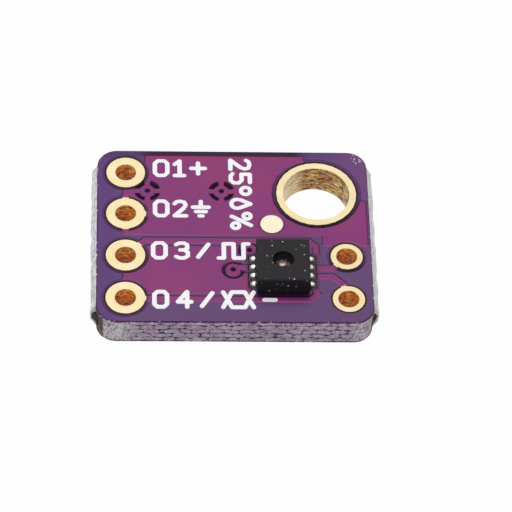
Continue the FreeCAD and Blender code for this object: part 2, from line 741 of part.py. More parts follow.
def make_mask(name, side, layers, lands):
    """Mask that follows the foils' relief and leaves the pads and lands open."""
    tall = "copper_thick + mask_thick"
    frame = level_sketch(name + "_frame", side["face"])
    draw_rectangle(frame, "0", "0", f"{WIDTH} - 2 * corner_radius", f"{DEPTH} - 2 * corner_radius")
    outline = widen(name + "_outline", frame, "corner_radius - mask_setback", "Arc")
    coats = [raise_profile(name + "_film", outline, side["way"], "mask_thick")]
    gaps = []
    for hole, (across, along, drill, pad) in plated_holes().items():
        if hole in VIAS:
            coats.append(plug(f"{name}_tent_{hole}", side, across, along,
                              f"{pad} / 2 + mask_side", tall, VIA_CORNERS))
            gaps.append(plug(f"{name}_cap_{hole}", side, across, along,
                             f"{pad} / 2", "copper_thick", VIA_CORNERS))
        else:
            gaps.append(plug(f"{name}_opening_{hole}", side, across, along,
                             f"{pad} / 2 + mask_gap", tall, side["pad"]))
    if side is TOP_SIDE:
        gaps.append(plug(name + "_opening_mark", side, f"{MOUNT_X} - fiducial_x",
                         f"{MOUNT_Y} - fiducial_y", "fiducial_disc / 2", tall, side["pad"]))
    for index, (across, along, length, width) in enumerate(lands):
        gaps.append(tile(f"{name}_window_{index}", side, across, along,
                         f"{length} + 2 * land_gap", f"{width} + 2 * land_gap", tall))
    coat = join(name + "_coat", coats + layers["lifts"])
    mask = take_away(name, coat, layers["foils"] + gaps)
    mask.Label = name


# Sensor package
def sensor_leads():
    """Middle of each lead in the package's own frame, by number: down the left, up the right."""
    reach = "(sensor_side - lead_length) / 2"
    left = [(f"-{reach}", f"lead_pitch * {step}") for step in ROW]
    right = [(reach, f"lead_pitch * {step}") for step in reversed(ROW)]
    return left + right


def make_sensor_body():
    """Moulded package with a round opening over the die, and seats for its metal."""
    body = new_body("sensor_body", x=SENSOR_X, y=SENSOR_Y, z=SENSOR_LOW)
    outline = body_sketch(body, "package_outline")
    draw_rectangle(outline, "0", "0", "sensor_side", "sensor_side")
    block = add_pad(body, outline, "package_block", "sensor_height")
    height = number("sensor_height")
    upper = edges_where(block, lambda box: box.ZMax > height / 2)
    bevel(body, block, "package_edges", upper, "package_bevel")
    seats = body_sketch(body, "lead_seats")
    for across, along in sensor_leads():
        draw_rectangle(seats, across, along, "lead_length", "lead_width")
    draw_chain(seats, die_pad_outline())
    cut_up(body, seats, "metal_seats", "lead_thick")
    die_seat = body_sketch(body, "die_seat_outline")
    draw_rectangle(die_seat, "0", "0", "die_side", "die_side")
    cut_up(body, die_seat, "die_seat", "lead_thick + die_thick")
    mouth = body_sketch(body, "mouth_section", "XZ_Plane")
    die_top = "lead_thick + die_thick"
    draw_chain(mouth, [("0", die_top), ("throat_width / 2", die_top),
                       ("mouth_width / 2", "sensor_height"), ("0", "sensor_height")])
    groove(body, mouth, "mouth")


def die_pad_outline():
    """Metal pad below the die, with one cut corner by the first lead."""
    half_x = "die_pad_width / 2"
    half_y = "die_pad_length / 2"
    return [(f"-{half_x}", f"-{half_y}"), (half_x, f"-{half_y}"), (half_x, half_y),
            (f"die_pad_notch - {half_x}", half_y), (f"-{half_x}", f"{half_y} - die_pad_notch")]


def make_sensor_metal():
    """Leads, die pad and die."""
    for lead, (across, along) in enumerate(sensor_leads(), start=1):
        body = new_body(f"sensor_lead_{lead}", x=f"{SENSOR_X} + {across}",
                        y=f"{SENSOR_Y} + {along}", z=SENSOR_LOW)
        outline = body_sketch(body, f"lead_outline_{lead}")
        draw_rectangle(outline, "0", "0", "lead_length", "lead_width")
        add_pad(body, outline, f"lead_{lead}", "lead_thick")
    paddle = new_body("sensor_die_pad", x=SENSOR_X, y=SENSOR_Y, z=SENSOR_LOW)
    outline = body_sketch(paddle, "paddle_outline")
    draw_chain(outline, die_pad_outline())
    add_pad(paddle, outline, "paddle", "lead_thick")
    die = new_body("sensor_die", x=SENSOR_X, y=SENSOR_Y, z=f"{SENSOR_LOW} + lead_thick")
    outline = body_sketch(die, "die_outline")
    draw_rectangle(outline, "0", "0", "die_side", "die_side")
    add_pad(die, outline, "die", "die_thick")


def make_sensor_solder():
    """Joint below and in front of each lead, and the layer below the die pad."""
    joints = []
    half = "(lead_width / 2)"
    land = f"{CORE_TOP} + copper_thick"
    foot = f"{land} + solder_gap"
    for sign in "-+":
        for lead in range(4):
            name = f"joint_{'left' if sign == '-' else 'right'}_{lead + 1}"
            section = upright_sketch(name + "_section", f"{LEAD_Y[lead]} + {half}")
            side = f"{SENSOR_X} {sign} sensor_side / 2"
            inner = f"{SENSOR_X} {sign} (sensor_side / 2 - lead_length)"
            toe = f"{side} {sign} solder_reach"
            bulge = f"{side} {sign} solder_belly"
            draw_chain(section, [
                (inner, land), (toe, land), (toe, foot), (bulge, f"{foot} + solder_belly_rise"),
                (side, f"{foot} + solder_rise"), (side, foot), (inner, foot),
            ])
            joint = doc.addObject("Part::Extrusion", name)
            joint.Base = section
            joint.DirMode = "Custom"
            joint.Dir = (0, -1, 0)
            joint.Solid = True
            drive(joint, LengthFwd="lead_width")
            joints.append(joint)
    solder = doc.addObject("Part::Compound", "sensor_solder")
    solder.Links = joints
    solder.Label = "sensor_solder"
    layer = tile("die_pad_solder", TOP_SIDE, SENSOR_X, SENSOR_Y, "die_pad_width",
                 "die_pad_length - 2 * die_pad_notch", "solder_gap")
    drive(layer, z=f"{CORE_TOP} + copper_thick")
    layer.Label = "die_pad_solder"


# Chip parts on the lower side
def chip_block(name, across, along, length, width, height, low):
    """Block about a middle point, from a height upwards."""
    box = doc.addObject("Part::Box", name)
    drive(box, Length=length, Width=width, Height=height,
          x=f"{across} - ({length}) / 2", y=f"{along} - ({width}) / 2", z=low)
    return box


def make_chip(name, across, along):
    """Ceramic block, its two metal ends and the solder that holds them."""
    block = new_body(name + "_body", x=across, y=along, z="cap_skin")
    outline = body_sketch(block, name + "_outline")
    draw_rectangle(outline, "0", "0", "chip_length - 2 * cap_skin", "chip_width - 2 * cap_skin")
    add_pad(block, outline, name + "_block", "chip_height - 2 * cap_skin")
    ends = []
    fillets = []
    for sign in "-+":
        label = f"{name}_{'left' if sign == '-' else 'right'}"
        middle = f"{across} {sign} {CHIP_END}"
        hull = chip_block(label + "_hull", middle, along, "cap_length", "chip_width",
                          "chip_height", "0")
        core = chip_block(label + "_core", across, along, "chip_length - 2 * cap_skin",
                          "chip_width - 2 * cap_skin", "chip_height - 2 * cap_skin", "cap_skin")
        ends.append(take_away(label + "_end", hull, [core]))
        face = f"{across} {sign} chip_length / 2"
        inner = f"{across} {sign} (chip_length / 2 - cap_length)"
        toe = f"{face} {sign} fillet_reach"
        land = "chip_height + solder_gap"
        section = upright_sketch(label + "_fillet_section", f"{along} + chip_width / 2")
        draw_chain(section, [
            (inner, land), (toe, land),
            (f"{face} {sign} fillet_waist", "chip_height - fillet_waist_rise"),
            (face, "chip_height - fillet_rise"), (face, "chip_height"), (inner, "chip_height"),
        ])
        fillet = doc.addObject("Part::Extrusion", label + "_fillet")
        fillet.Base = section
        fillet.DirMode = "Custom"
        fillet.Dir = (0, -1, 0)
        fillet.Solid = True
        drive(fillet, LengthFwd="chip_width")
        fillets.append(fillet)
    for suffix, pieces in (("_terminals", ends), ("_solder", fillets)):
        pair = doc.addObject("Part::Compound", name + suffix)
        pair.Links = pieces
        pair.Label = name + suffix


def write_pieces():
    """Check every object, then write each sub-part to its own file."""
    doc.recompute()
    for thing in doc.Objects:
        if "Invalid" in thing.State or "Error" in thing.State:
            raise RuntimeError(f"{thing.Label} failed: {thing.State}")
    os.makedirs("parts", exist_ok=True)
    for label in NODES:
        piece = doc.getObjectsByLabel(label)[0]
        shape = piece.Shape
        if shape.isNull() or not shape.isValid():
            raise RuntimeError(f"{label} has no valid shape")
        shape.exportStep(f"parts/{label}.step")
        print(f"{label}: {len(shape.Solids)} solids, {shape.Volume:.4f} mm3")


make_core()
for hole in plated_holes():
    make_plated_hole(hole)
top_layers = make_top_foils()
low_layers = make_low_foils()
sensor_windows = [sensor_land(sign, lead) for sign in "-+" for lead in range(4)]
sensor_windows.append((SENSOR_X, SENSOR_Y, "die_pad_width", "die_pad_length"))
make_mask("top_solder_mask", TOP_SIDE, top_layers, sensor_windows)
chip_windows = [chip_land(chip, sign) for chip in CHIPS for sign in "-+"]
make_mask("low_solder_mask", LOW_SIDE, low_layers, chip_windows)
make_sensor_body()
make_sensor_metal()
make_sensor_solder()
for chip, place in CHIPS.items():
    make_chip(chip, *place)

NODES = ["fr4_core", "top_solder_mask", "low_solder_mask"]
NODES += list(plated_holes())
NODES += [foil.Label for foil in top_layers["foils"] + low_layers["foils"]]
NODES += ["sensor_body", "sensor_die_pad", "sensor_die", "sensor_solder", "die_pad_solder"]
NODES += [f"sensor_lead_{lead}" for lead in range(1, 9)]
for chip in CHIPS:
    NODES += [chip + "_body", chip + "_terminals", chip + "_solder"]
write_pieces()
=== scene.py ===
import bmesh
import bpy
import math
import random
from mathutils import Matrix, Vector, noise


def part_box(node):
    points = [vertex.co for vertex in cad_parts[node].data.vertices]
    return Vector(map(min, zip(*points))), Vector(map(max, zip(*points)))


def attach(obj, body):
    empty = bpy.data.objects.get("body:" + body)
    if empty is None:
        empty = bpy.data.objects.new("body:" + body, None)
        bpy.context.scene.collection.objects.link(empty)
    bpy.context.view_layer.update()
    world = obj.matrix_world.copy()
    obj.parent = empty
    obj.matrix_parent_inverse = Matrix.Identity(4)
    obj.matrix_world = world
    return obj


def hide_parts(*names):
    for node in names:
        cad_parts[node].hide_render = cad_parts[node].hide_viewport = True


# Temperature and humidity sensor board, dressed over its solids. Metres, +Z up.
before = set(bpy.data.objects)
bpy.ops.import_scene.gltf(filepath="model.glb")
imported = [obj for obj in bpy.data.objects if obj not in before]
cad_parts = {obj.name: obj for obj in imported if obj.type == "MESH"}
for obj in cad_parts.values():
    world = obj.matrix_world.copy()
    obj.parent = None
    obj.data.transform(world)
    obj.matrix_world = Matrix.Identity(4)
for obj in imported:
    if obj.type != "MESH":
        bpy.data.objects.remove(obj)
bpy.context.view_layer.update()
random.seed(7)

MM = 0.001


# Places of the solids, in millimetres
def level_middle(node):
    """Middle of a node's box, seen from above."""
    lows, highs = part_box(node)
    return tuple(round((low + high) / 2 / MM, 3) for low, high in zip(lows[:2], highs[:2]))


def heights(node):
    """Heights of a node's lowest and highest point."""
    lows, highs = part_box(node)
    return round(lows[2] / MM, 3), round(highs[2] / MM, 3)


MOUNT = level_middle("mounting_eyelet")
PIN_HOLES = [level_middle(f"header_hole_{number}") for number in range(1, 5)]
SIDE_HOLE = level_middle("side_hole_1")
SPOKED_VIAS = [level_middle(node) for node in ("ground_via_1", "ground_via_2")]
VIAS = SPOKED_VIAS + [level_middle(node) for node in ("reset_via", "supply_via")]
SENSOR = level_middle("sensor_body")
SENSOR_MIDDLE = sum(heights("sensor_body")) / 2
CORE_LOW, CORE_TOP = heights("fr4_core")

# Sizes in millimetres
BOARD_X = 6.5
BOARD_Y = 5.2
CORNER = 0.95
FOIL = 0.035
MASK = 0.03
FILM_TOP = CORE_TOP + MASK
RAISED_TOP = CORE_TOP + FOIL + MASK
FILM_LOW = CORE_LOW - MASK
RAISED_LOW = CORE_LOW - FOIL - MASK
UPPER_SIDE = CORE_TOP - 0.5
MOUNT_RADIUS = 1.6
BARE_MARK = (1.823, 0.672)
CHIPPED_CORNER = (6.12, 4.82)

# Rings of painted shade on the mask around holes: place, outer radius, and how dark the painted
# shade is behind and in front
SHADE_RINGS = [(*hole, 1.12, 0.3, 0.55) for hole in PIN_HOLES]
SHADE_RINGS += [(*MOUNT, 2.16, 0.4, 0.97), (*SIDE_HOLE, 0.95, 0.25, 0.9)]
SHADE_RINGS += [(*via, 0.56, 0.8, 0.95) for via in VIAS]

# Camera: view in pixels, distance and height of the aim in millimetres, angles in degrees
VIEW_SIDE = 512
FOCAL_PIXELS = 3163.314
AIM_PIXEL = (232.617, 255.699)
AIM_HEIGHT = 0.475
CAMERA_DISTANCE = 151.557
CAMERA_LIFT = 51.411
CAMERA_TURN = -4.347
CAMERA_ROLL = 3.825
CAMERA_WIDTH = 36

# Zones of tone and of painted shade on the mask and the board's edge: where each starts and where it
# is full
BACK_FROM_LEFT = (-4.8, -3.8)
BACK_FROM_RIGHT = (3.5, 3.0)
BACK_BAND = (4.55, 5.0)
LEFT_STRIP = (-4.8, -5.9)
RIGHT_STRIP = (4.6, 6.0)
LEFT_END = (-4.2, -5.4)
RIGHT_END = (5.2, 6.0)
LEFT_CORNER = (-6.1, -6.24)
RIGHT_CORNER = (6.36, 6.46)
FRONT_CORNERS = (-4.0, -4.25)

# Printed marks, with the angle of an arc's steps in degrees
STROKE = 0.225
STROKE_BEVEL = 0.015
STROKE_FOOT = CORE_TOP + 0.02
STROKE_TOP = RAISED_TOP + 0.01
STROKE_LIFT = 8e-5
CAP_PARTS = 8
ARC_STEP = 24

# Torn webs: how far the sheet stands out, with its waves, and its grid
WEB_END = 4.65
WEB_MARGIN = 0.46
WEB_LEAST = 0.02
WEB_MEAN = 0.17
WEB_MOST = 0.25
WEB_COARSE = 0.07
WEB_FINE = 0.055
WEB_TAPER = 0.35
WEB_GAP = 0.03
WEB_ROWS = 12
WEB_COLUMNS = 260

# Solder joints, and by how much they vary
LEAD_PITCH = 0.5
LEADS = 4
JOINT_WIDE = 0.14
JOINT_REACH = 0.25
JOINT_RISE = 0.12
JOINT_FOOT = 0.02
JOINT_OVERLAP = 0.03
JOINT_LEAN = 0.015
JOINT_NECK = 0.72
JOINT_TIP = 0.4
JOINT_ROUNDNESS = 0.28
WIDE_VARIES = 0.012
REACH_VARIES = 0.02
RISE_VARIES = 0.015
JOINT_RINGS = 6
JOINT_SIDES = 8

# Stage: the floor's side in metres, its gap below the part, its grey and glow, and the soft light
FLOOR_SIDE = 4
FLOOR_GAP = 0.01
FLOOR_GREY = 0.55
FLOOR_GLOW = 0.985
SOFT_LIGHT = 0.3


# Camera
def place_camera():
    """Camera fitted to the board's holes and outline."""
    lift, turn, roll = (math.radians(angle) for angle in (CAMERA_LIFT, CAMERA_TURN, CAMERA_ROLL))
    off_x = AIM_PIXEL[0] - VIEW_SIDE / 2
    off_y = VIEW_SIDE / 2 - AIM_PIXEL[1]
    back = Vector((math.sin(turn) * math.cos(lift), -math.cos(turn) * math.cos(lift),
                   math.sin(lift)))
    level = (-back).cross(Vector((0, 0, 1))).normalized()
    above = level.cross(-back)
    right = math.cos(roll) * level + math.sin(roll) * above
    up = -math.sin(roll) * level + math.cos(roll) * above
    spot = back * CAMERA_DISTANCE + Vector((0, 0, AIM_HEIGHT))
    spot -= (right * off_x + up * off_y) * CAMERA_DISTANCE / FOCAL_PIXELS
    camera = bpy.data.objects.new("camera", bpy.data.cameras.new("camera"))
    camera.data.sensor_width = CAMERA_WIDTH
    camera.data.lens = FOCAL_PIXELS / VIEW_SIDE * CAMERA_WIDTH
    camera.data.clip_start = 0.001
    camera.data.clip_end = 10
    axes = Matrix((right, up, back)).transposed().to_4x4()
    camera.matrix_world = Matrix.Translation(spot * MM) @ axes
    bpy.context.scene.collection.objects.link(camera)
    bpy.context.scene.camera = camera


# Material nodes
class Shade:
    """One procedural material, with short calls for its nodes. x, y and z are millimetres."""

    def __init__(self, name):
        self.material = bpy.data.materials.new(name)
        self.material.use_nodes = True
        self.tree = self.material.node_tree
        self.surface = self.tree.nodes["Principled BSDF"]
        where = self.tree.nodes.new("ShaderNodeTexCoord")
        self.place = self.stretched(where.outputs["Object"], (1 / MM, 1 / MM, 1 / MM))
        self.x, self.y, self.z = self.split(self.place)
        shape = self.tree.nodes.new("ShaderNodeNewGeometry")
        self.nx, self.ny, self.nz = self.split(shape.outputs["True Normal"])

    def feed(self, socket, value):
        """Link a socket, or set a number, vector or colour on it."""
        if isinstance(value, bpy.types.NodeSocket):
            self.tree.links.new(value, socket)
        elif socket.type == "RGBA":
            socket.default_value = (*value, 1)
        else:
            socket.default_value = value

    def math(self, kind, one, two=0.0):
        node = self.tree.nodes.new("ShaderNodeMath")
        node.operation = kind
        self.feed(node.inputs[0], one)
        self.feed(node.inputs[1], two)
        return node.outputs[0]

    def plus(self, one, two):
        return self.math("ADD", one, two)

    def minus(self, one, two):
        return self.math("SUBTRACT", one, two)

    def times(self, first, *others):
        for other in others:
            first = self.math("MULTIPLY", first, other)
        return first

    def most(self, one, two):
        return self.math("MAXIMUM", one, two)

    def above(self, value, limit):
        """1 where the value is over the limit, otherwise 0."""
        return self.math("GREATER_THAN", value, limit)

    def below(self, value, limit):
        """1 where the value is under the limit, otherwise 0."""
        return self.math("LESS_THAN", value, limit)

    def apart(self, value, middle=0.0):
        """Distance of a value from a middle value."""
        return self.math("ABSOLUTE", self.minus(value, middle))

    def near(self, x, y):
        """Level distance to an upright line."""
        away_x = self.minus(self.x, x)
        away_y = self.minus(self.y, y)
        squares = self.plus(self.times(away_x, away_x), self.times(away_y, away_y))
        return self.math("SQRT", squares)

    def step(self, value, start, full):
        """Soft step from 0 where the value is at its start to 1 where it is full."""
        node = self.tree.nodes.new("ShaderNodeMapRange")
        node.interpolation_type = "SMOOTHSTEP"
        self.feed(node.inputs["Value"], value)
        node.inputs["From Min"].default_value = start
        node.inputs["From Max"].default_value = full
        return node.outputs["Result"]

    def by_sensor(self, across, along):
        """Box around the package's axis; each pair is where it starts and where it is full."""
        return self.times(self.step(self.apart(self.x, SENSOR[0]), *across),
                          self.step(self.apart(self.y, SENSOR[1]), *along))

    def blend(self, share, one, two):
        """Colours or vectors mixed: one where the share is 0, two where it is 1."""
        node = self.tree.nodes.new("ShaderNodeMix")
        node.data_type = "RGBA"
        self.feed(node.inputs["Factor"], share)
        self.feed(node.inputs["A"], one)
        self.feed(node.inputs["B"], two)
        return node.outputs["Result"]

    def split(self, value):
        node = self.tree.nodes.new("ShaderNodeSeparateXYZ")
        self.feed(node.inputs[0], value)
        return node.outputs

    def join(self, x, y, z):
        node = self.tree.nodes.new("ShaderNodeCombineXYZ")
        for socket, value in zip(node.inputs, (x, y, z)):
            self.feed(socket, value)
        return node.outputs[0]

    def stretched(self, where, stretch):
        node = self.tree.nodes.new("ShaderNodeVectorMath")
        node.operation = "MULTIPLY"
        self.feed(node.inputs[0], where)
        self.feed(node.inputs[1], stretch)
        return node.outputs[0]

    def noise(self, scale, detail=3, stretch=None, rough=0.55, where=None):
        where = where or self.place
        if stretch:
            where = self.stretched(where, stretch)
        node = self.tree.nodes.new("ShaderNodeTexNoise")
        self.feed(node.inputs["Vector"], where)
        node.inputs["Scale"].default_value = scale
        node.inputs["Detail"].default_value = detail
        node.inputs["Roughness"].default_value = rough
        return node.outputs["Fac"]

    def spots(self, limits, *pattern):
        """Patches cut out of noise: none below the first limit, full above the second."""
        return self.step(self.noise(*pattern), *limits)

    def cells(self, scale, where):
        """Distance to the nearest of many scattered points, and three random numbers of its own."""
        node = self.tree.nodes.new("ShaderNodeTexVoronoi")
        self.feed(node.inputs["Vector"], where)
        node.inputs["Scale"].default_value = scale
        return node.outputs["Distance"], self.split(node.outputs["Color"])

    def bump(self, height, depth, strength):
        node = self.tree.nodes.new("ShaderNodeBump")
        node.inputs["Strength"].default_value = strength
        node.inputs["Distance"].default_value = depth * MM
        self.feed(node.inputs["Height"], height)
        self.feed(self.surface.inputs["Normal"], node.outputs[0])

    def set(self, **inputs):
        for name, value in inputs.items():
            self.feed(self.surface.inputs[name.replace("_", " ")], value)
        return self.material


def linear(red, green, blue):
    """Linear colour of sRGB values from 0 to 255."""
    out = []
    for part in (red, green, blue):
        part /= 255
        out.append(part / 12.92 if part <= 0.04045 else ((part + 0.055) / 1.055) ** 2.4)
    return tuple(out)


# Solder mask
def tint_mask(shade, over_foil, bare, along_back, to_back):
    """Magenta over the foil, crimson towards the back; bluish grey over the bare board."""
    over_copper = shade.blend(shade.noise(0.3, 2), linear(120, 26, 106), linear(136, 38, 114))
    redder = shade.times(shade.spots((0.45, 0.75), 0.45, 1), 0.35)
    over_copper = shade.blend(redder, over_copper, linear(150, 36, 88))
    crimson = shade.times(along_back, shade.step(shade.y, 4.5, 4.85), 0.6)
    over_copper = shade.blend(crimson, over_copper, linear(156, 24, 66))
    to_left = shade.step(shade.x, *LEFT_STRIP)
    over_board = shade.blend(to_left, linear(90, 53, 107), linear(82, 38, 110))
    back_band = shade.blend(along_back, linear(60, 22, 88), linear(46, 14, 58))
    back_band = shade.blend(shade.step(shade.x, 3.4, 3.9), back_band, linear(82, 42, 106))
    over_board = shade.blend(to_back, over_board, back_band)
    colour = shade.blend(over_foil, over_board, over_copper)
    far_right = shade.times(shade.step(shade.x, *RIGHT_STRIP), shade.step(shade.y, -2.6, -1.0),
                            bare)
    return shade.blend(far_right, colour, linear(102, 54, 114))


def shade_slopes(shade, colour):
    """Painted shade and highlight on the mask's steep slopes: dark where they face back, lighter
    where they face front.
    """
    steep = shade.step(shade.apart(shade.nz), 0.985, 0.95)
    painted_back_shade = shade.times(steep, shade.step(shade.ny, -0.12, 0.16))
    colour = shade.blend(painted_back_shade, colour, linear(26, 6, 28))
    painted_front_highlight = shade.times(steep, shade.step(shade.ny, -0.12, -0.36), 0.4)
    return shade.blend(painted_front_highlight, colour, linear(186, 104, 150))


def mask_material():
    """Satin purple mask, with painted shade in dull rings around holes, beside and in front of the
    package, by the spoked vias and over the vias.
    """
    shade = Shade("purple_mask")
    upper = shade.above(shade.z, UPPER_SIDE)
    over_foil = shade.most(shade.step(shade.z, FILM_TOP + 0.004, RAISED_TOP - 0.004),
                           shade.step(shade.z, FILM_LOW - 0.004, RAISED_LOW + 0.004))
    bare = shade.minus(1.0, over_foil)
    along_back = shade.times(shade.step(shade.x, *BACK_FROM_LEFT),
                             shade.step(shade.x, *BACK_FROM_RIGHT))
    to_back = shade.step(shade.y, *BACK_BAND)
    colour = tint_mask(shade, over_foil, bare, along_back, to_back)
    dull = shade.times(along_back, to_back, bare, 0.6)

    # Painted shade in rings around the holes, darker in front than behind
    for x, y, outer, behind, front in SHADE_RINGS:
        before = shade.step(shade.minus(shade.y, y), 0.1, -outer)
        dark = shade.plus(behind, shade.times(before, front - behind))
        ring = shade.times(shade.step(shade.near(x, y), outer + 0.03, outer), bare, dark)
        dull = shade.most(dull, ring)
        colour = shade.blend(ring, colour, linear(24, 2, 30))
    colour = shade_slopes(shade, colour)
    # Painted shade on the mask beside the package
    beside = shade.times(shade.by_sensor((1.78, 1.56), (1.14, 1.02)), upper, 0.75)
    colour = shade.blend(beside, colour, linear(26, 12, 28))

    # Painted shade in the thermal relief gaps between the spoked vias' spokes
    for x, y in SPOKED_VIAS:
        away = shade.near(x, y)
        relief_gap_shade = shade.times(shade.step(away, 0.38, 0.42), shade.step(away, 0.66, 0.6), upper,
                            shade.step(shade.apart(shade.x, x), 0.12, 0.16),
                            shade.step(shade.apart(shade.y, y), 0.12, 0.16))
        dull = shade.most(dull, relief_gap_shade)
        colour = shade.blend(shade.times(relief_gap_shade, 0.9), colour, linear(24, 4, 30))
    # Painted shadow on the mask in front of the package
    package_shadow = shade.times(shade.step(shade.apart(shade.x, SENSOR[0]), 1.32, 1.2),
                                 shade.step(shade.minus(SENSOR[1], shade.y), 1.64, 1.5),
                                 shade.below(shade.y, SENSOR[1] - 1.2), upper, 0.75)
    colour = shade.blend(package_shadow, colour, linear(12, 6, 12))
    # Painted shade in the dimples over the vias
    for x, y in VIAS:
        via_dimple_shade = shade.times(shade.step(shade.near(x, y), 0.17, 0.1), 0.95)
        dull = shade.most(dull, via_dimple_shade)
        colour = shade.blend(via_dimple_shade, colour, linear(14, 2, 14))

    chipped = shade.times(shade.step(shade.near(*CHIPPED_CORNER), 0.42, 0.3),
                          shade.spots((0.58, 0.63), 9))
    colour = shade.blend(chipped, colour, linear(226, 214, 232))
    fine = shade.noise(9, 4)
    grain = shade.noise(40)
    colour = shade.blend(shade.times(fine, 0.14), colour, linear(50, 26, 60))
    shade.bump(shade.plus(shade.times(fine, 0.7), shade.times(grain, 0.3)), 0.01, 0.35)
    rough = shade.plus(shade.times(grain, 0.12), 0.34)
    gloss = shade.minus(0.18, shade.times(dull, 0.16))
    return shade.set(Base_Color=colour, Roughness=rough, Specular_IOR_Level=gloss)


# Board of glass cloth and resin
def weave(shade):
    """Seams between the bundles of glass in each ply, from 0 in a bundle to 1 in a seam."""
    ply_height = 0.31
    bundle_length = 0.72
    sideways = shade.step(shade.apart(shade.nx), 0.6, 0.8)
    run = shade.plus(shade.times(shade.minus(1.0, sideways), shade.x),
                     shade.times(sideways, shade.y))
    warp = shade.times(shade.minus(shade.noise(1.2), 0.5), 1.1)
    ply = shade.plus(shade.times(shade.minus(shade.z, CORE_LOW), 1 / ply_height), warp)
    staggered = shade.plus(shade.times(run, 1 / bundle_length),
                           shade.times(shade.math("FLOOR", ply), 0.5))
    staggered = shade.plus(staggered, shade.times(shade.noise(1.1, 4), 1.5))
    in_run = shade.times(shade.apart(shade.math("FRACT", staggered), 0.5), 2.0)
    in_ply = shade.times(shade.apart(shade.math("FRACT", ply), 0.5), 2.0)
    bundle = shade.plus(shade.math("POWER", in_run, 3.0), shade.math("POWER", in_ply, 2.0))
    return shade.step(bundle, 0.55, 1.15)


def age_edge(shade, colour):
    """Ashen ends, a purple fringe at the top, and painted shade on the front corners of the board's
    edge.
    """
    ashen = shade.blend(shade.spots((0.36, 0.56), 8, 5, (1.3, 1.3, 0.6), 0.7),
                        linear(122, 100, 120), linear(255, 250, 255))
    greyer = shade.times(shade.spots((0.46, 0.6), 1.6, 3, (1.0, 1.0, 0.3)), 0.3)
    ashen = shade.blend(greyer, ashen, linear(124, 104, 124))
    ends = shade.most(shade.step(shade.x, *LEFT_END),
                      shade.times(shade.step(shade.x, *RIGHT_END), 0.75))
    colour = shade.blend(shade.times(ends, 0.85), colour, ashen)
    frayed = shade.plus(shade.z, shade.times(shade.noise(7), 0.3))
    colour = shade.blend(shade.step(frayed, CORE_TOP + 0.04, CORE_TOP + 0.14), colour,
                         linear(92, 56, 104))
    # Painted shade: dark brown patches on the front corners of the edge
    corners = shade.most(shade.step(shade.x, *LEFT_CORNER), shade.step(shade.x, *RIGHT_CORNER))
    ragged = shade.plus(shade.z, shade.times(shade.noise(3), 0.9))
    corner_shade = shade.times(corners, shade.step(shade.y, *FRONT_CORNERS),
                          shade.step(ragged, CORE_LOW + 0.2, CORE_LOW + 0.5),
                          shade.spots((0.25, 0.4), 2.0), 0.9)
    return shade.blend(corner_shade, colour, linear(66, 50, 44))


def speckle_edge(shade, colour):
    """Lilac patches and flecks along the top of the board's edge, and dark patches at its foot."""
    outside = shade.most(shade.above(shade.apart(shade.y), 5.0),
                         shade.above(shade.apart(shade.x), 6.15))
    wavy = shade.plus(shade.z, shade.times(shade.noise(2.4), 0.16))
    lilac = shade.times(shade.step(wavy, CORE_TOP - 0.16, CORE_TOP - 0.12),
                        shade.step(wavy, CORE_TOP, CORE_TOP - 0.04),
                        shade.spots((0.5, 0.56), 1.3), 0.8)
    colour = shade.blend(lilac, colour, linear(236, 206, 250))
    flecks = shade.times(shade.step(shade.z, CORE_TOP - 0.16, CORE_TOP - 0.04),
                         shade.spots((0.6, 0.66), 5), outside)
    colour = shade.blend(flecks, colour, linear(250, 244, 252))
    foot = shade.times(shade.step(shade.z, CORE_LOW + 0.12, CORE_LOW + 0.05),
                       shade.spots((0.4, 0.5), 0.9), outside)
    return shade.blend(foot, colour, linear(50, 34, 44))


def laminate_material():
    """Board edge: lilac grey with woven bundles and dark dashes, painted shade on its level faces in
    the gaps, and its right web painted lighter.
    """
    shade = Shade("glass_laminate")
    seam = weave(shade)
    fibres = shade.noise(12, 4, (1.0, 1.0, 2.2), 0.75)
    colour = shade.blend(shade.step(fibres, 0.3, 0.7), linear(114, 84, 126), linear(255, 236, 255))
    patches = shade.times(shade.spots((0.42, 0.62), 1.1, 3, (1.0, 1.0, 0.4)), 0.22)
    colour = shade.blend(patches, colour, linear(112, 84, 124))
    dashes = shade.times(seam, shade.spots((0.36, 0.5), 3.5), 0.95)
    colour = shade.blend(dashes, colour, linear(58, 32, 64))
    colour = age_edge(shade, colour)
    web = shade.step(shade.apart(shade.x), BOARD_X, BOARD_X + 0.03)
    mottle = shade.spots((0.36, 0.6), 3.4, 4, (1.0, 1.0, 1.8), 0.7)
    pale = shade.blend(mottle, linear(200, 196, 201), linear(252, 250, 252))
    # Painted light: the right web is lighter than the left
    to_right = shade.times(shade.step(shade.x, 0.0, 1.0), 0.8)
    pale = shade.blend(to_right, pale, linear(255, 254, 255))
    colour = shade.blend(web, colour, pale)
    # Painted shade on the core's level faces, seen in the gaps of the mask and foil
    level = shade.step(shade.apart(shade.nz), 0.93, 0.97)
    colour = shade.blend(level, colour, linear(56, 30, 34))
    colour = speckle_edge(shade, colour)
    back_rim = shade.times(shade.step(shade.y, 4.9, 5.1),
                           shade.step(shade.z, CORE_TOP - 0.08, CORE_TOP - 0.02))
    colour = shade.blend(back_rim, colour, linear(44, 18, 62))
    shade.bump(shade.minus(fibres, shade.times(seam, 0.8)), 0.05, 0.7)
    return shade.set(Base_Color=colour, Roughness=0.8, Specular_IOR_Level=0.2)


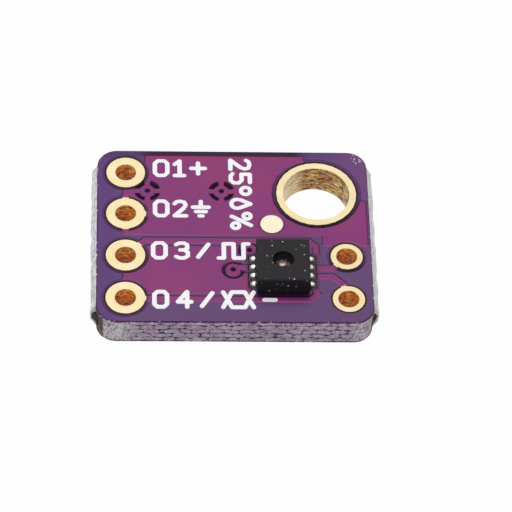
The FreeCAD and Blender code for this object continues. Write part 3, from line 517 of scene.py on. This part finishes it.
# Gold plate
def mount_wall(shade):
    """Wall of the mounting hole: long streaks of tan and brown and dark pits, with painted light
    making its left part paler.
    """
    turn = shade.math("ARCTAN2", shade.minus(shade.y, MOUNT[1]), shade.minus(shade.x, MOUNT[0]))
    around = shade.join(shade.times(turn, MOUNT_RADIUS), shade.z, 0.0)
    # Painted light: the left part of the wall is paler than the right
    to_right = shade.step(shade.x, MOUNT[0] - 1.5, MOUNT[0] - 0.2)
    streaks = shade.noise(2.6, 5, (0.6, 4.2, 1.0), 0.8, around)
    left_tan = shade.blend(shade.step(streaks, 0.36, 0.5), linear(238, 172, 98),
                           linear(255, 242, 202))
    right_tan = shade.blend(shade.step(streaks, 0.38, 0.52), linear(172, 76, 12),
                            linear(255, 226, 148))
    tan = shade.blend(to_right, left_tan, right_tan)
    rust = shade.times(shade.spots((0.42, 0.58), 1.1, 3, None, 0.6, around), 0.45)
    middle = shade.times(shade.step(shade.apart(shade.x, MOUNT[0] + 0.2), 1.0, 0.5), 0.2)
    rust = shade.times(shade.plus(rust, middle), to_right)
    tan = shade.blend(rust, tan, linear(168, 76, 30))
    pits = shade.spots((0.49, 0.54), 3.6, 4, (0.7, 3.0, 1.0), 0.8, around)
    dark = shade.plus(0.15, shade.times(to_right, 0.83))
    return shade.blend(shade.times(pits, dark), tan, linear(40, 12, 0))


def pin_wall(shade, rasp):
    """Wall of a pin hole: orange brown with pits, and glints above its foot."""
    brown = shade.blend(shade.step(rasp, 0.42, 0.58), linear(222, 78, 0), linear(255, 196, 54))
    pits = shade.times(shade.spots((0.52, 0.58), 3.2, 3, (1.0, 1.0, 1.6), 0.7), 0.6)
    brown = shade.blend(pits, brown, linear(100, 26, 0))
    lit = shade.step(shade.z, CORE_LOW + 0.4, CORE_LOW + 0.9)
    glints = shade.times(shade.spots((0.54, 0.58), 4, 3, (1.0, 1.0, 1.6), 0.7), lit)
    return shade.blend(glints, brown, linear(255, 236, 142))


def gold_material():
    """Pale gold on the faces, and rough walls in the drilled holes."""
    shade = Shade("gold_plate")
    wall = shade.step(shade.apart(shade.nz), 0.6, 0.4)
    in_mount = shade.step(shade.near(*MOUNT), 2.1, 2.0)
    rasp = shade.noise(3.6, 4, (1.0, 1.0, 1.8), 0.75)
    face = shade.blend(shade.noise(1.2), linear(215, 196, 144), linear(231, 214, 168))
    paler = shade.times(shade.spots((0.46, 0.7), 0.9, 2), 0.4)
    face = shade.blend(paler, face, linear(238, 220, 198))
    # Painted shade on the lands beside the package
    tucked_shade = shade.by_sensor((1.72, 1.66), (1.12, 1.08))
    face = shade.blend(tucked_shade, face, linear(52, 44, 50))
    on_mark = shade.step(shade.near(*BARE_MARK), 0.66, 0.62)
    face = shade.blend(on_mark, face, linear(238, 220, 192))
    bore = shade.blend(in_mount, pin_wall(shade, rasp), mount_wall(shade))
    colour = shade.blend(wall, face, bore)
    shiny = shade.times(wall, in_mount)
    metal = shade.plus(0.15, shade.times(shiny, 0.5))
    rough = shade.minus(0.5, shade.times(shiny, 0.1))
    relief = shade.plus(shade.times(rasp, wall), shade.times(shade.noise(22), 0.05))
    shade.bump(relief, 0.06, 0.9)
    return shade.set(Base_Color=colour, Metallic=metal, Roughness=rough)


# Solder and tin
def solder_material():
    """Bright solder, with painted shade where it tucks in under the package."""
    shade = Shade("bright_solder")
    grain = shade.noise(18)
    colour = shade.blend(grain, linear(240, 241, 244), linear(255, 255, 255))
    # Painted shade on the solder where it tucks in under the package
    past = shade.minus(shade.apart(shade.x, SENSOR[0]), shade.times(shade.noise(5), 0.16))
    tucked_shade = shade.times(shade.step(past, 1.25, 1.21), shade.above(shade.z, CORE_TOP))
    colour = shade.blend(tucked_shade, colour, linear(34, 32, 36))
    shade.bump(grain, 0.01, 0.3)
    return shade.set(Base_Color=colour, Metallic=0.4, Roughness=0.3)


def tin_material():
    """Tinned metal of the leads and of the chips' ends."""
    shade = Shade("tinned_metal")
    grain = shade.noise(24)
    colour = shade.blend(grain, linear(176, 174, 172), linear(222, 220, 218))
    shade.bump(grain, 0.006, 0.4)
    return shade.set(Base_Color=colour, Metallic=0.85, Roughness=0.34)


# Package and die
def filler_specks(shade):
    """Pale grains of filler, more of them near the edges of the top and fewer on the sides."""
    upright = shade.below(shade.apart(shade.nz), 0.5)
    flat = shade.blend(upright, shade.join(shade.x, shade.y, 0.0),
                       shade.join(shade.plus(shade.x, shade.y), shade.z, 0.0))
    distance, (pick, size, tint) = shade.cells(8, flat)
    from_middle = shade.most(shade.apart(shade.x, SENSOR[0]), shade.apart(shade.y, SENSOR[1]))
    to_edge = shade.times(shade.step(from_middle, 0.9, 1.2), 0.2)
    not_top = shade.times(shade.below(shade.nz, 0.5), 0.13)
    limit = shade.plus(shade.minus(0.88, to_edge), not_top)
    reach = shade.plus(0.14, shade.times(size, 0.2))
    strength = shade.plus(0.45, shade.times(tint, 0.55))
    grain = shade.step(shade.minus(reach, distance), 0.0, 0.08)
    return shade.times(grain, strength, shade.above(pick, limit))


def mould_material():
    """Charcoal moulding compound with pale filler, and painted shade darkening the well in its
    opening.
    """
    shade = Shade("moulding_compound")
    grain = shade.noise(30, 4)
    colour = shade.blend(grain, linear(22, 20, 23), linear(36, 33, 36))
    colour = shade.blend(filler_specks(shade), colour, linear(225, 225, 232))
    # Painted shade: the mould inside the opening is very dark
    from_axis = shade.near(*SENSOR)
    opening_shade = shade.times(shade.step(from_axis, 0.51, 0.49),
                       shade.step(shade.apart(shade.z, SENSOR_MIDDLE), 0.44, 0.42))
    ledge = shade.blend(shade.step(from_axis, 0.46, 0.42), linear(5, 4, 5), linear(30, 26, 28))
    colour = shade.blend(opening_shade, colour, ledge)
    shade.bump(grain, 0.012, 0.5)
    return shade.set(Base_Color=colour, Roughness=0.6, Specular_IOR_Level=0.14)


def silicon_material():
    """Dark die with a painted pinkish glint in its middle."""
    shade = Shade("die_with_glint")
    # Painted glint: a pinkish patch, greyer towards the back
    from_glint = shade.near(SENSOR[0] - 0.02, SENSOR[1] + 0.08)
    film = shade.step(shade.plus(from_glint, shade.times(shade.noise(7), 0.16)), 0.27, 0.2)
    glint_tone = shade.blend(shade.step(shade.y, SENSOR[1] + 0.12, SENSOR[1]), linear(128, 108, 112),
                       linear(250, 210, 196))
    greyer = shade.times(shade.spots((0.42, 0.6), 10, 4, None, 0.7), 0.6)
    die = shade.blend(greyer, linear(10, 8, 10), linear(126, 112, 108))
    colour = shade.blend(film, die, glint_tone)
    return shade.set(Base_Color=colour, Roughness=0.5, Specular_IOR_Level=0.08)


# Ceramic, ink and fibres
def ceramic_material(name, low, high, cap=None):
    """Fired ceramic; cap is the colour of a glazed lower face."""
    shade = Shade(name)
    grain = shade.noise(20)
    colour = shade.blend(grain, low, high)
    if cap:
        colour = shade.blend(shade.step(shade.nz, -0.7, -0.9), colour, cap)
    shade.bump(grain, 0.008, 0.4)
    return shade.set(Base_Color=colour, Roughness=0.5)


def ink_material():
    """White printed ink with slightly uneven cover."""
    shade = Shade("white_ink")
    colour = shade.blend(shade.noise(9, 4), linear(240, 238, 250), linear(255, 255, 255))
    shade.bump(shade.noise(26), 0.008, 0.5)
    return shade.set(Base_Color=colour, Roughness=0.6, Specular_IOR_Level=0.2)


def fibre_material():
    """Torn glass fibres: white with grey flecks, painted lighter on the right web, and painted shade
    in brown at the ends of the webs.
    """
    shade = Shade("torn_fibres")
    flecks = shade.spots((0.35, 0.62), 9, 4, (1.0, 1.0, 1.8), 0.7)
    colour = shade.blend(flecks, linear(172, 170, 173), linear(252, 251, 252))
    # Painted light: the right web is lighter than the left
    to_right = shade.times(shade.step(shade.x, 0.0, 1.0), 0.8)
    colour = shade.blend(to_right, colour, linear(255, 254, 255))
    # Painted shade: brown at the ragged ends of the webs
    ragged = shade.minus(shade.apart(shade.y), shade.times(shade.noise(4), 0.6))
    colour = shade.blend(shade.step(ragged, 3.7, 3.9), colour, linear(74, 60, 52))
    shade.bump(shade.noise(24, 4), 0.03, 0.7)
    return shade.set(Base_Color=colour, Roughness=0.85, Specular_IOR_Level=0.2)


# Pieces
def paint(node, material):
    """Give a node of the frame its material."""
    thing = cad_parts[node]
    thing.data.materials.clear()
    thing.data.materials.append(material)


def add_piece(name, form, material, slot, *nodes):
    """A new object of the part, with its material and the nodes that it stands for; the slot is not
    used.
    """
    mesh = bpy.data.meshes.new(name)
    form.to_mesh(mesh)
    form.free()
    mesh.materials.append(material)
    piece = bpy.data.objects.new(name, mesh)
    bpy.context.scene.collection.objects.link(piece)
    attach(piece, "root")
    if nodes:
        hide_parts(*nodes)


# Mask with soft steps
def soften_steps(node, name, film, raised, material):
    """Copy of a mask whose upright steps at the foils' edges become slopes."""
    half_slope = 0.04 * MM
    merge = 1e-7
    near = 2e-6
    level_normal = 0.3
    same_way = 0.999
    opposed = 0.5
    sharpest_turn = 0.6
    form = bmesh.new()
    form.from_mesh(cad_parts[node].data)
    bmesh.ops.remove_doubles(form, verts=form.verts, dist=merge)
    form.normal_update()
    low, high = sorted((film * MM, raised * MM))
    pushes = {}
    for face in form.faces:
        levels = [vert.co.z for vert in face.verts]
        is_level = abs(face.normal.z) > level_normal
        if is_level or min(levels) < low - near or max(levels) > high + near:
            continue
        for vert in face.verts:
            normals = pushes.setdefault(vert, [])
            flat = Vector((face.normal.x, face.normal.y, 0)).normalized()
            if all(flat.dot(other) < same_way for other in normals):
                normals.append(flat)
    for vert, normals in pushes.items():
        total = sum(normals, Vector())
        if total.length < opposed:
            continue
        way = total.normalized()
        reach = half_slope / max(way.dot(normals[0]), sharpest_turn)
        at_raised = abs(vert.co.z - raised * MM) < near
        vert.co += way * (-reach if at_raised else reach)
    add_piece(name, form, material, "solder_mask", node)


# Printed marks, generic ones only
def capsule(form, start, end, high):
    """Flat bar with round ends and a small bevel around its top."""
    along = end - start
    middle = (start + end) / 2
    turn = math.atan2(along.y, along.x)
    sides = []
    for centre, first in ((end, turn - math.pi / 2), (start, turn + math.pi / 2)):
        for part in range(CAP_PARTS + 1):
            angle = first + math.pi * part / CAP_PARTS
            point = centre + Vector((math.cos(angle), math.sin(angle))) * STROKE / 2
            inset = point + (middle - point).normalized() * STROKE_BEVEL
            sides.append((form.verts.new((point.x * MM, point.y * MM, STROKE_FOOT * MM)),
                          form.verts.new((inset.x * MM, inset.y * MM, high * MM))))
    form.faces.new([top for foot, top in sides])
    form.faces.new([foot for foot, top in reversed(sides)])
    for (foot_a, top_a), (foot_b, top_b) in zip(sides, sides[1:] + sides[:1]):
        form.faces.new((foot_a, foot_b, top_b, top_a))


def arc(x, y, radius, first=0, last=360):
    """Points along an arc between two angles in degrees."""
    steps = max(4, int(abs(last - first) / ARC_STEP))
    points = []
    for part in range(steps + 1):
        angle = math.radians(first + (last - first) * part / steps)
        points.append((x + radius * math.cos(angle), y + radius * math.sin(angle)))
    return points


# Width and strokes of each mark, as shares of its height
GLYPHS = {
    "zero": (0.66, [[(0.16, 0.0), (0.5, 0.0), (0.66, 0.18), (0.66, 0.82), (0.5, 1.0), (0.16, 1.0),
                     (0.0, 0.82), (0.0, 0.18), (0.16, 0.0)]]),
    "one": (0.5, [[(0.0, 0.76), (0.27, 1.0), (0.27, 0.0)], [(0.0, 0.0), (0.52, 0.0)]]),
    "two": (0.66, [[(0.03, 0.82), (0.14, 0.96), (0.34, 1.0), (0.56, 0.93), (0.63, 0.74),
                    (0.52, 0.52), (0.03, 0.0), (0.66, 0.0)]]),
    "three": (0.66, [[(0.02, 0.9), (0.2, 1.0), (0.46, 1.0), (0.62, 0.88), (0.62, 0.66),
                      (0.46, 0.54), (0.24, 0.54)],
                     [(0.46, 0.54), (0.65, 0.4), (0.65, 0.14), (0.46, 0.0), (0.2, 0.0),
                      (0.02, 0.1)]]),
    "four": (0.72, [[(0.5, 0.0), (0.5, 1.0), (0.02, 0.34), (0.72, 0.34)]]),
    "five": (0.64, [[(0.6, 1.0), (0.04, 1.0), (0.04, 0.56), (0.44, 0.58), (0.63, 0.42),
                     (0.63, 0.16), (0.46, 0.0), (0.16, 0.0), (0.0, 0.1)]]),
    "plus": (0.74, [[(0.0, 0.5), (0.74, 0.5)], [(0.37, 0.12), (0.37, 0.88)]]),
    "ground": (0.86, [[(0.43, 1.0), (0.43, 0.6)], [(0.0, 0.6), (0.86, 0.6)],
                      [(0.16, 0.3), (0.7, 0.3)], [(0.34, 0.0), (0.52, 0.0)]]),
    "slash": (0.56, [[(0.0, 0.06), (0.56, 0.94)]]),
    "minus": (0.6, [[(0.0, 0.5), (0.6, 0.5)]]),
    "clock": (1.6, [[(0.0, 0.02), (0.28, 0.02), (0.28, 0.98), (0.8, 0.98), (0.8, 0.02),
                     (1.32, 0.02), (1.32, 0.98), (1.6, 0.98)]]),
    "bus": (1.6, [[(0.0, 0.0), (0.24, 0.5), (0.0, 1.0)],
                  [(0.24, 0.5), (0.46, 1.0), (1.14, 1.0), (1.36, 0.5), (1.14, 0.0), (0.46, 0.0),
                   (0.24, 0.5)],
                  [(1.6, 0.0), (1.36, 0.5), (1.6, 1.0)]]),
    "degree": (0.48, [arc(0.24, 0.76, 0.24)]),
    "percent": (1.0, [[(0.2, 0.0), (0.8, 1.0)], arc(0.18, 0.8, 0.19), arc(0.82, 0.2, 0.19)]),
    "drop": (0.7, [[(0.35, 1.0), (0.08, 0.48)] + arc(0.35, 0.3, 0.3, 150, 390) + [(0.35, 1.0)]]),
}


def print_row(form, names, x, y, width, height, downwards=False):
    """Marks spread over a box; a downward row reads towards the front with its tops to the right."""
    tall = height - STROKE
    total = sum(GLYPHS[name][0] for name in names) * tall
    gap = (width - total - STROKE * len(names)) / (len(names) - 1)
    cursor = STROKE / 2
    layer = 0
    for name in names:
        wide, strokes = GLYPHS[name]
        for points in strokes:
            spots = []
            for across, above in points:
                u = cursor + across * tall
                v = STROKE / 2 + above * tall
                spots.append(Vector((x + v, y - u)) if downwards else Vector((x + u, y + v)))
            for start, end in zip(spots, spots[1:]):
                layer += 1
                capsule(form, start, end, STROKE_TOP + layer * STROKE_LIFT)
        cursor += wide * tall + STROKE + gap


def make_marks(material):
    """Four numbered rows beside the pin holes, and a row that runs towards the front."""
    form = bmesh.new()
    print_row(form, ["zero", "one", "plus"], -3.85, 3.5, 2.65, 1.14)
    print_row(form, ["zero", "two", "ground"], -3.85, 1.0, 2.8, 1.12)
    print_row(form, ["zero", "three", "slash", "clock"], -3.95, -1.57, 4.75, 1.12)
    print_row(form, ["zero", "four", "slash", "bus", "minus"], -3.9, -4.48, 5.9, 1.12)
    print_row(form, ["two", "five", "degree", "drop", "percent"], -0.2, 4.75, 4.5, 1.15, True)
    add_piece("printed_marks", form, material, "legend_ink")


# Snapped webs
def web_point(side, y, share):
    """Place in millimetres on a torn web's sheet, at a share of its height."""
    low = CORE_LOW + WEB_MARGIN
    high = CORE_TOP - WEB_MARGIN
    z = low + (high - low) * share
    coarse = noise.noise(Vector((y * 2.2, z * 3.0, 4.0 * side)))
    fine = noise.noise(Vector((y * 11, z * 7, 9.0 * side)))
    swell = 1 - abs(2 * share - 1) ** 3
    past = max(0.0, abs(y) - BOARD_Y + CORNER)
    outline = BOARD_X - CORNER + math.sqrt(CORNER ** 2 - past ** 2)
    reach = WEB_MEAN + WEB_COARSE * coarse + WEB_FINE * fine - WEB_TAPER * past
    x = outline + WEB_GAP + swell * max(WEB_LEAST, min(WEB_MOST, reach))
    return side * x, y, z


def make_web(name, side, material):
    """Torn fibres on one snapped web: a ragged sheet over its face."""
    form = bmesh.new()
    grid = []
    for row in range(WEB_ROWS + 1):
        line = []
        for column in range(WEB_COLUMNS + 1):
            y = WEB_END * (2 * column / WEB_COLUMNS - 1)
            spot = web_point(side, y, row / WEB_ROWS)
            line.append(form.verts.new([value * MM for value in spot]))
        grid.append(line)
    for lower, upper in zip(grid, grid[1:]):
        for column in range(WEB_COLUMNS):
            quad = (lower[column], lower[column + 1], upper[column + 1], upper[column])
            form.faces.new(quad if side > 0 else quad[::-1])
    add_piece(name, form, material, "board_laminate")


# Solder joints in front of the leads
def joint_ring(share, half, wide, reach, rise):
    """Place, half width and height of a joint's cross-section at a share of its length."""
    x = half - JOINT_OVERLAP * MM + (reach + JOINT_OVERLAP * MM) * share
    bulge = math.cos(share * math.pi / 2) ** JOINT_ROUNDNESS if share < 1 else 0.0
    tall = JOINT_FOOT * MM + rise * bulge
    belly = JOINT_NECK + (1 - JOINT_NECK) * math.sin(math.pi * share)
    spread = wide * belly * (1 - (1 - JOINT_TIP) * share ** 5)
    return x, spread, tall


def make_joints(material):
    """Eight rounded fillets, each a little different."""
    form = bmesh.new()
    lows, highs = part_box("sensor_body")
    middle_x = (lows[0] + highs[0]) / 2
    middle_y = (lows[1] + highs[1]) / 2
    half = (highs[0] - lows[0]) / 2
    land = (CORE_TOP + FOIL) * MM
    for side in (-1, 1):
        for lead in range(LEADS):
            y = middle_y + ((LEADS - 1) / 2 - lead) * LEAD_PITCH * MM
            wide = (JOINT_WIDE + random.uniform(-WIDE_VARIES, WIDE_VARIES)) * MM
            lean = JOINT_LEAN * side
            reach = (JOINT_REACH - lean + random.uniform(-REACH_VARIES, REACH_VARIES)) * MM
            rise = (JOINT_RISE + random.uniform(-RISE_VARIES, RISE_VARIES)) * MM
            rings = []
            for part in range(JOINT_RINGS + 1):
                x, spread, tall = joint_ring(part / JOINT_RINGS, half, wide, reach, rise)
                ring = []
                for turn in range(JOINT_SIDES + 1):
                    angle = math.pi * turn / JOINT_SIDES
                    ring.append(form.verts.new((
                        middle_x + side * x,
                        y + math.cos(angle) * spread * side,
                        land + max(math.sin(angle), 0.0) ** 0.5 * tall)))
                rings.append(ring)
            for one, two in zip(rings, rings[1:]):
                for turn in range(JOINT_SIDES):
                    form.faces.new((one[turn], two[turn], two[turn + 1], one[turn + 1]))
                form.faces.new((one[-1], two[-1], two[0], one[0]))
            form.faces.new(rings[0])
            form.faces.new(rings[-1][::-1])
    bmesh.ops.recalc_face_normals(form, faces=form.faces)
    for face in form.faces:
        face.smooth = True
    add_piece("solder_joints", form, material, "solder", "sensor_solder")


# Stage
def seen_directly(tree):
    """1 for rays from the camera and for rays that metal or glass sends on, 0 for soft light."""
    rays = tree.nodes.new("ShaderNodeLightPath")
    seen = rays.outputs["Is Camera Ray"]
    for kind in ("Is Glossy Ray", "Is Transmission Ray"):
        either = tree.nodes.new("ShaderNodeMath")
        either.operation = "MAXIMUM"
        tree.links.new(seen, either.inputs[0])
        tree.links.new(rays.outputs[kind], either.inputs[1])
        seen = either.outputs[0]
    return seen


def make_floor():
    """Pale floor that keeps the part's shadow and otherwise looks like the background."""
    bpy.ops.mesh.primitive_plane_add(size=FLOOR_SIDE, location=(0, 0, -FLOOR_GAP * MM))
    floor = bpy.context.object
    floor.name = "floor"
    material = bpy.data.materials.new("pale_floor")
    material.use_nodes = True
    tree = material.node_tree
    tree.nodes.clear()
    out = tree.nodes.new("ShaderNodeOutputMaterial")
    plain = tree.nodes.new("ShaderNodeBsdfDiffuse")
    plain.inputs["Color"].default_value = (FLOOR_GREY, FLOOR_GREY, FLOOR_GREY, 1)
    bright = tree.nodes.new("ShaderNodeEmission")
    share = tree.nodes.new("ShaderNodeMath")
    share.operation = "MULTIPLY"
    share.inputs[1].default_value = FLOOR_GLOW
    tree.links.new(seen_directly(tree), share.inputs[0])
    blend = tree.nodes.new("ShaderNodeMixShader")
    tree.links.new(share.outputs[0], blend.inputs[0])
    tree.links.new(plain.outputs[0], blend.inputs[1])
    tree.links.new(bright.outputs[0], blend.inputs[2])
    tree.links.new(blend.outputs[0], out.inputs[0])
    floor.data.materials.append(material)


def make_world():
    """White background that lights the part more softly than it looks."""
    world = bpy.data.worlds.new("studio")
    bpy.context.scene.world = world
    world.use_nodes = True
    tree = world.node_tree
    light = tree.nodes["Background"]
    light.inputs["Color"].default_value = (1, 1, 1, 1)
    level = tree.nodes.new("ShaderNodeMapRange")
    level.inputs["To Min"].default_value = SOFT_LIGHT
    tree.links.new(seen_directly(tree), level.inputs["Value"])
    tree.links.new(level.outputs[0], light.inputs["Strength"])


def add_lamp(name, place, size, power):
    """Square soft box that faces the board's middle; place and size in millimetres."""
    lamp = bpy.data.lights.new(name, "AREA")
    lamp.size = size * MM
    lamp.energy = power
    box = bpy.data.objects.new(name, lamp)
    spot = Vector(place)
    aim = Vector((0, 0, 1.5))
    box.location = spot * MM
    box.rotation_euler = (spot - aim).to_track_quat("Z", "Y").to_euler()
    bpy.context.scene.collection.objects.link(box)


# Whole scene
place_camera()
make_floor()
make_world()
add_lamp("key", (-25, 85, 190), 150, 0.3)
add_lamp("fill", (-40, -160, 110), 120, 0.09)

mask = mask_material()
laminate = laminate_material()
gold = gold_material()
solder = solder_material()
tin = tin_material()
mould = mould_material()
silicon = silicon_material()
ink = ink_material()
fibres = fibre_material()
tan_ceramic = ceramic_material("tan_ceramic", linear(150, 118, 88), linear(186, 150, 116))
white_ceramic = ceramic_material("white_ceramic", linear(206, 204, 200), linear(238, 236, 232),
                                 linear(28, 28, 32))

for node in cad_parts:
    if node == "fr4_core":
        paint(node, laminate)
    elif node == "sensor_body":
        paint(node, mould)
    elif node == "sensor_die":
        paint(node, silicon)
    elif node.endswith("_solder"):
        paint(node, solder)
    elif node.startswith("sensor_lead") or node == "sensor_die_pad" or node.endswith("_terminals"):
        paint(node, tin)
    elif node == "capacitor_body":
        paint(node, tan_ceramic)
    elif node.endswith("_resistor_body"):
        paint(node, white_ceramic)
    elif node.endswith("_mask"):
        paint(node, mask)
    else:
        paint(node, gold)

soften_steps("top_solder_mask", "top_mask", FILM_TOP, RAISED_TOP, mask)
soften_steps("low_solder_mask", "low_mask", FILM_LOW, RAISED_LOW, mask)
make_marks(ink)
make_web("torn_web_left", -1, fibres)
make_web("torn_web_right", 1, fibres)
make_joints(solder)

bpy.context.scene.view_settings.view_transform = "Standard"
